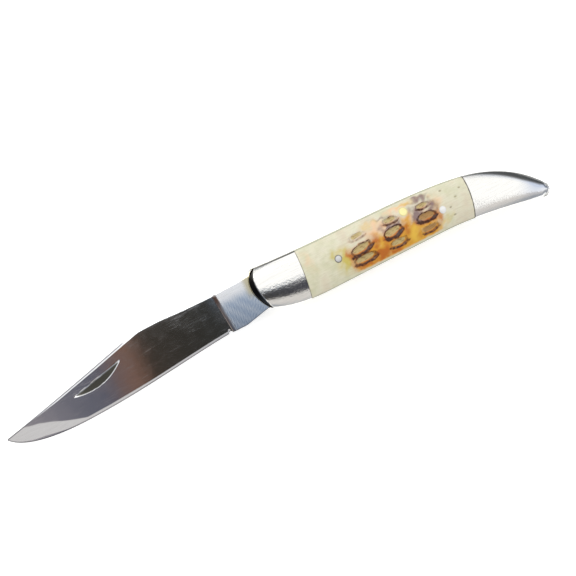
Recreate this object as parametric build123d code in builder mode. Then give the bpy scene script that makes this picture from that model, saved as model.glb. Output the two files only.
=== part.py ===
from build123d import *
from math import asin, atan2, cos, degrees, hypot, radians, sin, sqrt, tan
import os

# A slip-joint folding pocketknife of the toothpick pattern, modelled open and lying on its side.
# +X runs from the pivot to the butt, +Y to the back where the spring lies, +Z up through the side
# that carries the nail nick. The origin is on the pivot axis, on the surface the knife rests on.

# ---- driving dimensions, in mm -------------------------------------------------------------------
closed_length = 74.8  # front of the bolsters to the butt
front_overhang = 6.95  # front of the bolsters to the pivot axis
back_height = 5.45  # pivot axis to the straight part of the back
belly_depth = 5.7  # pivot axis to the straight part of the belly
rear_bolster_length = 20.3  # rear joint to the butt
front_joint_x = 4.4  # front joint, where it crosses the pivot's height
front_joint_lean = 4.5  # degrees, top towards the butt
rear_joint_lean = 6.3  # degrees, top towards the butt
nose_radius = 1.72  # rounding of the butt, seen from the side
nose_sweep = 141.3  # degrees

blade_thickness = 1.8
liner_thickness = 0.5
cover_thickness = 2.1  # bolsters and scales stand equally high on the liners
side_clearance = 0.05  # blade to liner, each side
edge_round = 1.2  # rounding of the outer edges of bolsters and scales

tip_setback = 4.05  # how much nearer to the pivot the blade's tip is than the butt
tip_drop = 3.25  # pivot axis to the tip, towards the belly
tip_shut_drop = 1.62  # the shut blade's tip below the straight part of the belly, inside the tail
spine_height = 5.02  # pivot axis to the spine where the clip starts
clip_length = 31.9  # tip to the start of the spine
edge_depth = 7.15  # pivot axis to the lowest point of the edge
low_from_tip = 14.3  # tip to the lowest point of the edge
tang_length = 14.3  # pivot axis to the front of the kick
kick_reach = 11.5  # pivot axis to where the kick meets the spring when shut
tang_relief = 0.27  # the tang's underside stands this far off the spring between flat and kick
relief_reach = 6.05  # pivot axis to the deepest part of that relief
plunge_setback = 0.4  # front of the kick to the top of the plunge line
plunge_lean = 5.5  # degrees, top towards the tip
grind_spine = 0.78  # half the thickness left at the spine
grind_edge = 0.12  # half the thickness left at the lowest point of the edge
notch_radius = 0.45  # small notch between the edge and the kick
nick_length = 11.8
nick_width = 1.6
nick_depth = 0.25
nick_from_tip = 14.8  # tip to the near end of the nail nick, along the clip
nick_drop = 2.2  # from the clip's chord to the nick's straight side

seat_height = 2.6  # pivot axis to the spring's bearing edge
seat_clearance = 0.05  # spring to tang flat, shoulder and kick
cam_radius = 3.5  # rounded end of the tang, which lifts the spring on the way round
spring_nose = 1.25  # the spring's free end, in front of the pivot axis
edge_clearance = 0.3  # closed edge to spring
spring_wall = 0.6  # spring left under its centre pin

pivot_radius = 1.2
pivot_clearance = 0.03  # radial, pin to blade
centre_pin_radius = 1.0
end_pin_radius = 0.8
scale_pin_radius = 0.85
centre_pin_x = 30.9
end_pin_from_butt = 12.4
end_pin_y = 0.6
front_scale_pin = (12.7, -0.2)
rear_scale_pin = (39.6, -0.8)

jig_depth = 0.55
jig_pitch_x = 8.45
jig_first_x = 18.55
# each row of pockets: height above the pivot axis, length and width of a pocket
jig_rows = ((2.2, 3.9, 1.5), (-0.5, 5.0, 2.2), (-3.05, 4.9, 1.8))
jig_columns = 3

# ---- levels and places worked out from them ------------------------------------------------------
gap = blade_thickness + 2 * side_clearance
pile_liner_z = cover_thickness
gap_z = pile_liner_z + liner_thickness
blade_z = gap_z + side_clearance
mark_liner_z = gap_z + gap
mark_cover_z = mark_liner_z + liner_thickness
full_thickness = mark_cover_z + cover_thickness
middle_z = full_thickness / 2

butt_x = closed_length - front_overhang
rear_joint_x = butt_x - rear_bolster_length
tip_x = -(butt_x - tip_setback)
end_pin_x = butt_x - end_pin_from_butt
tip = (tip_x, -tip_drop)
clip_start = (tip_x + clip_length, spine_height)

# The blade turns through the belly until its tip lies inside the tail.
tip_radius = hypot(*tip)
tip_shut_angle = degrees(asin((belly_depth + tip_shut_drop) / tip_radius))
closing_angle = 180 - degrees(atan2(tip_drop, -tip_x)) - tip_shut_angle
print("closing angle", round(closing_angle, 2))


def closed(x, y):
    """Where a point of the open blade comes to when the blade is shut."""
    turn = radians(closing_angle)
    return (x * cos(turn) - y * sin(turn), x * sin(turn) + y * cos(turn))


def opened(x, y):
    """Where a point of the shut blade comes to when the blade is open."""
    turn = radians(closing_angle)
    return (x * cos(turn) + y * sin(turn), y * cos(turn) - x * sin(turn))


# ---- outlines ------------------------------------------------------------------------------------
# Handle, seen from the nail-nick side: bowed front, nearly straight back and belly, and a butt
# that narrows and curves down to a round nose.
back_front = (-front_overhang + 2.05, back_height + 0.5)
belly_front = (-front_overhang + 2.2, -belly_depth + 2.35)
back_joint = (butt_x - 20.35, back_height - 1.3)
nose_top = (butt_x - 0.42, -back_height - 0.76)
belly_bend = (butt_x - 29.85, -belly_depth + 0.12)

with BuildSketch() as handle_profile:
    with BuildLine() as handle_edge:
        Bezier(
            belly_front,
            (-front_overhang - 0.25, -belly_depth + 5.2),
            (-front_overhang - 1.25, back_height - 1.25),
            back_front,
        )
        Bezier(back_front, (1.5, back_height + 0.17), (7, back_height + 0.02), (14, back_height))
        Bezier(
            (14, back_height),
            (27, back_height - 0.03),
            (back_joint[0] - 8.5, back_joint[1] + 1.35),
            back_joint,
        )
        tail_back = Bezier(
            back_joint,
            (back_joint[0] + 7.5, back_joint[1] - 1.2),
            (butt_x - 5.68, back_height - 5.6),
            nose_top,
        )
        nose = JernArc(nose_top, tail_back % 1, nose_radius, -nose_sweep)
        Bezier(
            nose @ 1,
            nose @ 1 + nose % 1 * 8,
            (belly_bend[0] + 10, belly_bend[1] + 0.08),
            belly_bend,
        )
        Line(belly_bend, (9, -belly_depth))
        Bezier((9, -belly_depth), (2.2, -belly_depth - 0.02), (-1.9, -belly_depth + 0.95), belly_front)
    make_face()

# Blade: clip point, spine flush with the back where it enters the handle, a square shoulder that
# butts against the spring, two flats that the spring bears on, and a round cam between them.
spine_end = (-front_overhang + 0.95, back_height + 0.42)
shoulder_x = -spring_nose - seat_clearance
flat = seat_height - seat_clearance
flat_end = sqrt(cam_radius**2 - flat**2)
shut_flat_end = opened(-flat_end, flat)
shut_flat_start = opened(spring_nose, flat)
relief = opened(relief_reach, flat - tang_relief)
kick_back = opened(kick_reach, flat)
kick_front = (-tang_length, kick_back[1] - 0.08)
edge_end = (-tang_length - 2 * notch_radius, kick_back[1] - 0.03)
notch_top = (-tang_length - notch_radius, kick_back[1] - 0.03 + notch_radius)
edge_low = (tip_x + low_from_tip, -edge_depth)

with BuildSketch() as blade_profile:
    with BuildLine() as blade_edge:
        Bezier(tip, (tip_x + 10.8, -tip_drop + 2.47), (tip_x + 21.3, spine_height - 2.92), clip_start)
        Line(clip_start, spine_end)
        Line(spine_end, (shoulder_x, back_height + 0.32))
        Line((shoulder_x, back_height + 0.32), (shoulder_x, flat))
        Line((shoulder_x, flat), (flat_end, flat))
        ThreePointArc((flat_end, flat), (cam_radius, 0), shut_flat_end)
        Polyline(shut_flat_end, shut_flat_start, relief, kick_back, kick_front)
        ThreePointArc(kick_front, notch_top, edge_end)
        rear_edge = Bezier(
            edge_end,
            (edge_end[0] - 11.3, edge_end[1] - 0.85),
            (edge_low[0] + 11.5, -edge_depth),
            edge_low,
        )
        Bezier(edge_low, (edge_low[0] - 5, -edge_depth), (tip_x + 2.3, -edge_depth + 0.65), tip)
    make_face()

# ---- blade ---------------------------------------------------------------------------------------
# Flat ground on both faces from the plunge line to the tip, thinnest at the edge.
grind_slope = (grind_spine - grind_edge) / (spine_height + edge_depth)
overrun = 3  # the grinding cut reaches this far past the blade
plunge_base = -tang_length - plunge_setback + (spine_height + edge_depth) * tan(radians(plunge_lean))
grind_top = spine_height + edge_depth + overrun
with BuildPart() as blade:
    with BuildSketch(Plane.XY.offset(blade_z)):
        add(blade_profile.sketch)
    extrude(amount=blade_thickness)
    for side in (1, -1):
        ground_face = Plane(
            origin=(0, -edge_depth, middle_z + side * grind_edge),
            x_dir=(1, 0, 0),
            z_dir=(0, -grind_slope, side),
        )
        with BuildSketch(ground_face):
            Polygon(
                (tip_x - overrun, -side * overrun),
                (plunge_base + overrun * tan(radians(plunge_lean)), -side * overrun),
                (plunge_base - grind_top * tan(radians(plunge_lean)), side * grind_top),
                (tip_x - overrun, side * grind_top),
                align=None,
            )
        extrude(amount=blade_thickness, mode=Mode.SUBTRACT)
    # nail nick, a crescent with its straight side along the clip
    clip_plane = Plane(origin=(*tip, 0), x_dir=(clip_length, spine_height + tip_drop, 0))
    nick_floor = middle_z + grind_edge + grind_slope * (edge_depth - nick_drop) - nick_depth
    with BuildSketch(clip_plane.offset(nick_floor)):
        with BuildLine():
            Line((nick_from_tip, -nick_drop), (nick_from_tip + nick_length, -nick_drop))
            ThreePointArc(
                (nick_from_tip + nick_length, -nick_drop),
                (nick_from_tip + nick_length / 2, -nick_drop - nick_width),
                (nick_from_tip, -nick_drop),
            )
        make_face()
    extrude(amount=blade_thickness, mode=Mode.SUBTRACT)
    with BuildSketch(Plane.XY.offset(blade_z)):
        Circle(pivot_radius + pivot_clearance)
    extrude(amount=blade_thickness, mode=Mode.SUBTRACT)
blade.part.label = "blade"

# ---- backspring ----------------------------------------------------------------------------------
# Its bearing edge is straight from the free end to past the kick, dips under the centre pin, and
# then runs clear of the shut blade's edge and tip down to the belly, closing the blade well.
shut_edge = [closed(point.X, point.Y) for point in (rear_edge @ (step / 60) for step in range(61))]
edge_at_pin = max(y for x, y in shut_edge if x > centre_pin_x - 0.5)
spring_low = edge_at_pin + edge_clearance
centre_pin_y = spring_low + spring_wall + centre_pin_radius
shut_tip = closed(*tip)
seat_end = (kick_reach + 3, seat_height)
low_point = (centre_pin_x + 0.6, spring_low)
rear_arm = (rear_joint_x + 2.4, spring_low - 0.85)
well_end = (shut_tip[0] + 1.15, shut_tip[1] + 0.9)
outside = closed_length  # well clear of the handle all round

with BuildSketch() as spring_profile:
    add(handle_profile.sketch)
    with BuildLine():
        Line((-spring_nose, outside), (-spring_nose, seat_height))
        Line((-spring_nose, seat_height), seat_end)
        Bezier(seat_end, (seat_end[0] + 6, seat_height), (low_point[0] - 6, spring_low), low_point)
        Bezier(
            low_point,
            (low_point[0] + 6.5, spring_low),
            (rear_arm[0] - 7, rear_arm[1] + 0.6),
            rear_arm,
        )
        Bezier(
            rear_arm,
            (rear_arm[0] + 7, rear_arm[1] - 0.8),
            (well_end[0] - 2.1, well_end[1] + 2.9),
            well_end,
        )
        Polyline(
            well_end,
            (well_end[0] + 0.7, -outside),
            (-outside, -outside),
            (-outside, outside),
            (-spring_nose, outside),
        )
    make_face(mode=Mode.SUBTRACT)
    with Locations((centre_pin_x, centre_pin_y)):
        Circle(centre_pin_radius, mode=Mode.SUBTRACT)
    with Locations((end_pin_x, end_pin_y)):
        Circle(end_pin_radius, mode=Mode.SUBTRACT)

with BuildPart() as backspring:
    with BuildSketch(Plane.XY.offset(gap_z)):
        add(spring_profile.sketch)
    extrude(amount=gap)
backspring.part.label = "backspring"

# ---- pins ----------------------------------------------------------------------------------------
with BuildPart() as pivot_pin:
    Cylinder(pivot_radius, full_thickness, align=(Align.CENTER, Align.CENTER, Align.MIN))
pivot_pin.part.label = "pivot_pin"

with BuildPart() as spring_centre_pin:
    with Locations((centre_pin_x, centre_pin_y, 0)):
        Cylinder(centre_pin_radius, full_thickness, align=(Align.CENTER, Align.CENTER, Align.MIN))
spring_centre_pin.part.label = "spring_centre_pin"

with BuildPart() as spring_end_pin:
    with Locations((end_pin_x, end_pin_y, 0)):
        Cylinder(end_pin_radius, full_thickness, align=(Align.CENTER, Align.CENTER, Align.MIN))
spring_end_pin.part.label = "spring_end_pin"

scale_pin_length = liner_thickness + cover_thickness
with BuildPart() as scale_pin_front_mark_side:
    with Locations((*front_scale_pin, mark_liner_z)):
        Cylinder(scale_pin_radius, scale_pin_length, align=(Align.CENTER, Align.CENTER, Align.MIN))
scale_pin_front_mark_side.part.label = "scale_pin_front_mark_side"

with BuildPart() as scale_pin_rear_mark_side:
    with Locations((*rear_scale_pin, mark_liner_z)):
        Cylinder(scale_pin_radius, scale_pin_length, align=(Align.CENTER, Align.CENTER, Align.MIN))
scale_pin_rear_mark_side.part.label = "scale_pin_rear_mark_side"

# ---- liner and covers of the nail-nick side ------------------------------------------------------
through_pins = (
    ((0, 0), pivot_radius),
    ((centre_pin_x, centre_pin_y), centre_pin_radius),
    ((end_pin_x, end_pin_y), end_pin_radius),
    (front_scale_pin, scale_pin_radius),
    (rear_scale_pin, scale_pin_radius),
)

with BuildPart() as liner_mark_side:
    with BuildSketch(Plane.XY.offset(mark_liner_z)):
        add(handle_profile.sketch)
        for place, radius in through_pins:
            with Locations(place):
                Circle(radius, mode=Mode.SUBTRACT)
    extrude(amount=liner_thickness)
liner_mark_side.part.label = "liner_mark_side"

# Bolsters and scale are ground together on the handle, so they are cut from one rounded slab.
with BuildPart() as cover_slab:
    with BuildSketch(Plane.XY.offset(mark_cover_z)):
        add(handle_profile.sketch)
    extrude(amount=cover_thickness)
    fillet(cover_slab.faces().sort_by(Axis.Z)[-1].edges(), radius=edge_round)
    with BuildSketch(Plane.XY.offset(mark_cover_z)):
        for place, radius in through_pins:
            with Locations(place):
                Circle(radius)
    extrude(amount=cover_thickness, mode=Mode.SUBTRACT)


def joint_line(x, lean, height):
    """Point of a joint at a height above the pivot axis."""
    return (x + height * sin(radians(lean)), height)


joint_reach = 20  # the cuts along the joints reach this far above and below the pivot axis
front_joint = [joint_line(front_joint_x, front_joint_lean, y) for y in (-joint_reach, joint_reach)]
rear_joint = [joint_line(rear_joint_x, rear_joint_lean, y) for y in (-joint_reach, joint_reach)]

with BuildPart() as front_bolster_mark_side:
    add(cover_slab.part)
    with BuildSketch(Plane.XY.offset(mark_cover_z)):
        Polygon((-outside, -joint_reach), *front_joint, (-outside, joint_reach), align=None)
    extrude(amount=cover_thickness, mode=Mode.INTERSECT)
front_bolster_mark_side.part.label = "front_bolster_mark_side"

with BuildPart() as rear_bolster_mark_side:
    add(cover_slab.part)
    with BuildSketch(Plane.XY.offset(mark_cover_z)):
        Polygon((outside, -joint_reach), (outside, joint_reach), *reversed(rear_joint), align=None)
    extrude(amount=cover_thickness, mode=Mode.INTERSECT)
rear_bolster_mark_side.part.label = "rear_bolster_mark_side"

with BuildPart() as scale_mark_side:
    add(cover_slab.part)
    with BuildSketch(Plane.XY.offset(mark_cover_z)):
        Polygon(front_joint[0], rear_joint[0], rear_joint[1], front_joint[1], align=None)
    extrude(amount=cover_thickness, mode=Mode.INTERSECT)
    # jigged pockets, three rows of short rounded slots
    with BuildSketch(Plane.XY.offset(full_thickness - jig_depth)):
        for height, length, width in jig_rows:
            for column in range(jig_columns):
                with Locations((jig_first_x + column * jig_pitch_x, height)):
                    SlotOverall(length, width)
    extrude(amount=cover_thickness, mode=Mode.SUBTRACT)
scale_mark_side.part.label = "scale_mark_side"

# ---- the other side, a mirror image about the middle of the blade ---------------------------------
parts = [blade.part, backspring.part, pivot_pin.part, spring_centre_pin.part, spring_end_pin.part]
for mark_side in (
    liner_mark_side,
    front_bolster_mark_side,
    rear_bolster_mark_side,
    scale_mark_side,
    scale_pin_front_mark_side,
    scale_pin_rear_mark_side,
):
    with BuildPart() as pile_side:
        mirror(mark_side.part, about=Plane.XY.offset(middle_z))
    pile_side.part.label = mark_side.part.label.replace("mark", "pile")
    parts += [mark_side.part, pile_side.part]

os.makedirs("parts", exist_ok=True)
for piece in parts:
    export_step(piece, f"parts/{piece.label}.step")
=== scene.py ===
"""Visual model of a toothpick-pattern folding pocketknife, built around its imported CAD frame."""

import bpy
import numpy as np
from mathutils import Matrix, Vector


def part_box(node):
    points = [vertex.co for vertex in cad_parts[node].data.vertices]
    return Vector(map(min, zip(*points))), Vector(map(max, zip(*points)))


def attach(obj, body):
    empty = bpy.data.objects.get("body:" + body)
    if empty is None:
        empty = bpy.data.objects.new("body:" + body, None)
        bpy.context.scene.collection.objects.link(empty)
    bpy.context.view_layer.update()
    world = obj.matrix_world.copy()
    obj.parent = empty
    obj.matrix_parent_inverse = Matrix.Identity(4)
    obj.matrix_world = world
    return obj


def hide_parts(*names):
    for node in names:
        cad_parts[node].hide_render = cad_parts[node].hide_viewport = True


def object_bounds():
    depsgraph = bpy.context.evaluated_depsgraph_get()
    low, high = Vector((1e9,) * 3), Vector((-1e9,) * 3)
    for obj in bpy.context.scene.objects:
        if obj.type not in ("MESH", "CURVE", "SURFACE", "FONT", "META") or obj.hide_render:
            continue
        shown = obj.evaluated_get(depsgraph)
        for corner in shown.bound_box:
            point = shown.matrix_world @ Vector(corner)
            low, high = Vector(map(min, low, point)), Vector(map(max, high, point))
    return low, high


bl_info = {
    "name": "Toothpick pocketknife",
    "version": (1, 0, 0),
    "blender": (4, 5, 0),
    "location": "3D View > Sidebar > Pocketknife",
    "description": "Builds a slip-joint folding knife with jigged bone scales piece by piece",
    "category": "Add Mesh",
}

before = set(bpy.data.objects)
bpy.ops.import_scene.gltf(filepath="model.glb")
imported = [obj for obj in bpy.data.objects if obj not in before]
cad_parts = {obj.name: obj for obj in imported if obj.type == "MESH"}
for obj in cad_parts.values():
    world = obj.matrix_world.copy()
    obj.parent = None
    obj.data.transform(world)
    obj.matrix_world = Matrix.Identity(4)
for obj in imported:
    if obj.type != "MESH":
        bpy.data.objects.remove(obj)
CAD_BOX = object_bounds()

MM = 0.001

# Heights in mm: the top and the foot of the covers on the side of the nail nick, the knife's middle
# plane, and the crown's highest line, which leaves room for the pin heads under the top.
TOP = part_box("scale_mark_side")[1].z / MM
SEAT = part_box("scale_mark_side")[0].z / MM
MIDDLE = TOP / 2
PIN_STANDS = 0.03
PIN_DOME = 0.02
HEAD_ROOM = 0.02
CROWN_TOP = TOP - PIN_STANDS - PIN_DOME - HEAD_ROOM
CROWN_POWER = 2.2
LEAST_COVER = 0.12
PIN_AT = {
    name: tuple((a + b) / 2 / MM for a, b in zip(*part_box(name)))[:2]
    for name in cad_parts
    if "pin" in name
}


def linear(colour):
    """An sRGB hex colour as linear red, green, blue and alpha."""
    parts = np.array([int(colour[i : i + 2], 16) for i in (1, 3, 5)]) / 255
    low = parts / 12.92
    high = ((parts + 0.055) / 1.055) ** 2.4
    return (*np.where(parts <= 0.04045, low, high), 1.0)


# ---- curves ----


def bezier(points, count=60):
    """Cubic Bezier curve: each control point weighted by its Bernstein polynomial of t."""
    t = np.linspace(0, 1, count)[:, None]
    a, b, c, d = np.array(points, float)
    return (1 - t) ** 3 * a + 3 * (1 - t) ** 2 * t * b + 3 * (1 - t) * t**2 * c + t**3 * d


def arc(centre, radius, start, sweep, count=40):
    """Circle arc: centre plus radius times cosine and sine of the swept angle, in degrees."""
    angle = np.radians(start + sweep * np.linspace(0, 1, count))
    return np.array(centre) + radius * np.stack([np.cos(angle), np.sin(angle)], 1)


def along(path, shares):
    """Points of a polyline at shares of its length."""
    steps = np.hypot(*np.diff(path, axis=0).T)
    run = np.concatenate([[0], np.cumsum(steps)])
    return np.stack([np.interp(shares * run[-1], run, path[:, k]) for k in (0, 1)], 1)


def cut(path, x, lean):
    """Where a polyline crosses leaning lines x + height times lean: the first change of sign,
    and a straight line between its two points."""
    off = path[:, 0] - path[:, 1] * lean[:, None] - x[:, None]
    after = np.clip(np.argmax(off > 0, axis=1), 1, len(path) - 1)
    rows = np.arange(len(x))
    a, b = off[rows, after - 1], off[rows, after]
    share = np.clip(-a / (b - a), 0, 1)[:, None]
    return path[after - 1] * (1 - share) + path[after] * share


def smooth(value, low, high):
    """Smoothstep: 3t squared minus 2t cubed, with t the share of the way from low to high, held
    between 0 and 1."""
    t = np.clip((value - low) / (high - low), 0, 1)
    return t * t * (3 - 2 * t)


def spread(count, ends=0.5):
    """Shares from 0 to 1, closer together near both ends: part even, and part a cosine."""
    t = np.linspace(0, 1, count)
    return (1 - ends) * t + ends * (0.5 - 0.5 * np.cos(np.pi * t))


def ripple(x, y, spacing):
    """Unevenness from -1 to 1: the mean of five sines that run along different directions."""
    waves = np.array([(0.3, 1.0), (1.4, 0.8), (2.3, 1.25), (3.7, 0.65), (5.2, 1.45)])
    angle, rate = waves[:, 0], 2 * np.pi * waves[:, 1] / spacing
    way = x[..., None] * np.cos(angle) + y[..., None] * np.sin(angle)
    return np.sin(way * rate + 7 * angle).mean(-1)


def spot(x, y, middle, reach_x, reach_y):
    """A soft spot: the exponential of minus the squared distance over its reach."""
    return np.exp(-(((x - middle[0]) / reach_x) ** 2) - ((y - middle[1]) / reach_y) ** 2)


def spots(x, y, rows):
    """The strongest of several soft spots, each given as strength, middle and reaches."""
    return np.max([row[0] * spot(x, y, row[1:3], row[3], row[4]) for row in rows], axis=0)


# Handle outline in mm from the pivot axis, and the joints between the scale and the bolsters: where
# each crosses the height of the axis, and how far it leans towards the butt per mm of height.
FRONT = bezier([(-4.75, -3.35), (-7.2, -0.5), (-8.2, 4.2), (-4.9, 5.95)])
BACK = np.concatenate(
    [
        bezier([(-4.9, 5.95), (1.5, 5.62), (7, 5.47), (14, 5.45)]),
        bezier([(14, 5.45), (27, 5.42), (39, 5.5), (47.5, 4.15)])[1:],
        bezier([(47.5, 4.15), (55, 2.95), (62.17, -0.15), (67.43, -6.21)])[1:],
    ]
)
NOSE = arc((66.131, -7.337), 1.72, 40.96, -141.3)
BELLY = np.concatenate(
    [
        bezier([(-4.75, -3.35), (-1.9, -4.75), (2.2, -5.72), (9, -5.7)]),
        bezier([(38, -5.58), (48, -5.5), (57.952, -7.593), (65.822, -9.03)]),
    ]
)
FRONT_JOINT, FRONT_LEAN = 4.4, np.sin(np.radians(4.5))
REAR_JOINT, REAR_LEAN = 47.55, np.sin(np.radians(6.3))

# Blade outline when open: from the tip over the spine, shoulder and cam, and from the tip along
# the edge, notch, kick and tang to the same place on the cam.
TIP = (-63.8, -3.25)
UPPER = np.concatenate(
    [
        bezier([TIP, (-53, -0.78), (-42.5, 2.1), (-31.9, 5.02)]),
        [(-6.0, 5.87), (-1.3, 5.77), (-1.3, 2.55)],
        arc((0, 0), 3.5, 46.8, -46.8, 12),
    ]
)
LOWER = np.concatenate(
    [
        bezier([TIP, (-61.5, -6.5), (-54.5, -7.15), (-49.5, -7.15)]),
        bezier([(-49.5, -7.15), (-38, -7.15), (-26.5, -5.29), (-15.2, -4.44)])[1:],
        arc((-14.75, -4.46), 0.45, 177, -174, 12),
        [(-10.92, -4.41), (-5.6, -3.25), (-0.81, -2.72), (2.79, -2.12)],
        arc((0, 0), 3.5, -37.2, 37.2, 12)[1:],
    ]
)

# ---- meshes ----


def rim_of(columns, rows):
    """Indices of a grid's rim, anticlockwise seen from above, with rows running across."""
    index = np.arange(columns * rows).reshape(columns, rows)
    return np.concatenate([index[:-1, 0], index[-1, :-1], index[:0:-1, -1], index[0, :0:-1]])


def quads_of(columns, rows):
    """A grid's faces, anticlockwise seen from above."""
    index = np.arange(columns * rows).reshape(columns, rows)
    corners = index[:-1, :-1], index[1:, :-1], index[1:, 1:], index[:-1, 1:]
    return np.stack([corner.ravel() for corner in corners], 1)


def wall_of(above, below):
    """Faces between two rims that run the same way."""
    return np.stack([above, below, np.roll(below, -1), np.roll(above, -1)], 1)


def slab(top, base):
    """A grid of points as a closed slab: its rim goes straight down to a flat base."""
    columns, rows = top.shape[:2]
    rim = rim_of(columns, rows)
    points = top.reshape(-1, 3)
    foot = points[rim].copy()
    foot[:, 2] = base
    foot_index = len(points) + np.arange(len(rim))
    quads = np.concatenate([quads_of(columns, rows), wall_of(rim, foot_index)])
    return np.concatenate([points, foot]), quads.tolist() + [foot_index[::-1].tolist()]


def shell(top, bottom):
    """Two grids over each other as one closed shell, joined all round their rims."""
    columns, rows = top.shape[:2]
    count = columns * rows
    rim = rim_of(columns, rows)
    quads = quads_of(columns, rows)
    faces = np.concatenate([quads, quads[:, ::-1] + count, wall_of(rim, rim + count)])
    return np.concatenate([top.reshape(-1, 3), bottom.reshape(-1, 3)]), faces.tolist()


def turned(profile, centre, count=48):
    """A profile of radius and height turned about an upright axis: each ring is the centre plus
    the radius times cosine and sine; the two ends close on single points."""
    angle = np.linspace(0, 2 * np.pi, count, endpoint=False)
    radius, height = np.array(profile, float).T
    x = centre[0] + np.outer(radius, np.cos(angle))
    y = centre[1] + np.outer(radius, np.sin(angle))
    z = np.broadcast_to(height[:, None], x.shape)
    rings = np.stack([x, y, z], 2).reshape(-1, 3)
    ends = [(centre[0], centre[1], height[0]), (centre[0], centre[1], height[-1])]
    index = np.arange(len(rings)).reshape(len(profile), count)
    next_round = np.roll(index, -1, 1)
    corners = index[:-1], next_round[:-1], next_round[1:], index[1:]
    side = np.stack([corner.ravel() for corner in corners], 1)
    first = np.stack([np.full(count, len(rings)), np.roll(index[0], -1), index[0]], 1)
    last = np.stack([np.full(count, len(rings) + 1), index[-1], np.roll(index[-1], -1)], 1)
    return np.concatenate([rings, ends]), side.tolist() + first.tolist() + last.tolist()


def mirrored(points, faces):
    """The same piece on the other side of the knife: its heights are counted down from the top,
    and its faces run the other way round, so that they still point outwards."""
    return points * (1, 1, -1) + (0, 0, TOP), [face[::-1] for face in faces]


def make_piece(name, points, faces, body, slot, finish, node_names, fields=None, crease=32):
    """Puts a piece in the scene, on its body, standing for its CAD nodes. It is held inside the
    knife's whole box, which rounding in the outlines can miss by a few micrometres."""
    mesh = bpy.data.meshes.new(name)
    inside_box = np.clip(points * MM, *(np.array(corner) for corner in CAD_BOX))
    mesh.from_pydata(inside_box.tolist(), [], faces)
    for field, values in (fields or {}).items():
        layer = mesh.attributes.new(field, "FLOAT", "POINT")
        layer.data.foreach_set("value", values.astype(np.float32))
    mesh.shade_smooth()
    mesh.set_sharp_from_angle(angle=np.radians(crease))
    mesh.materials.append(finish)
    piece = bpy.data.objects.new(name, mesh)
    bpy.context.scene.collection.objects.link(piece)
    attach(piece, body)
    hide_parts(*node_names)
    return piece


# ---- node trees ----


def node(tree, kind, inputs=None, stops=None, **settings):
    """Adds a node, sets its properties, its colour stops, and its inputs to values or links."""
    made = tree.nodes.new(kind)
    for name, value in settings.items():
        setattr(made, name, value)
    for name, value in (inputs or {}).items():
        if isinstance(value, bpy.types.NodeSocket):
            tree.links.new(value, made.inputs[name])
        else:
            made.inputs[name].default_value = value
    if stops:
        elements = made.color_ramp.elements
        while len(elements) < len(stops):
            elements.new(0.5)
        for element, (place, colour) in zip(elements, stops):
            element.position = place
            element.color = linear(colour)
    return made


def new_material(name):
    """An empty material with its output, its main shader and the object's own coordinates."""
    material = bpy.data.materials.new(name)
    material.use_nodes = True
    tree = material.node_tree
    tree.nodes.clear()
    shader = node(tree, "ShaderNodeBsdfPrincipled")
    node(tree, "ShaderNodeOutputMaterial", {"Surface": shader.outputs[0]})
    place = node(tree, "ShaderNodeTexCoord").outputs["Object"]
    return material, tree, shader, place


def wheel_marks(tree, place, angle, stretch, spacing, roughness):
    """Noise drawn out along a direction in degrees: spacing in mm across it, and longer along it,
    by one over the stretch."""
    turned_place = node(
        tree,
        "ShaderNodeMapping",
        {"Vector": place, "Rotation": (0, 0, np.radians(-angle)), "Scale": (stretch, 1, 1)},
        vector_type="POINT",
    ).outputs[0]
    return node(
        tree,
        "ShaderNodeTexNoise",
        {"Vector": turned_place, "Scale": 1 / (spacing * MM), "Detail": 4, "Roughness": roughness},
    ).outputs[0]


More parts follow.
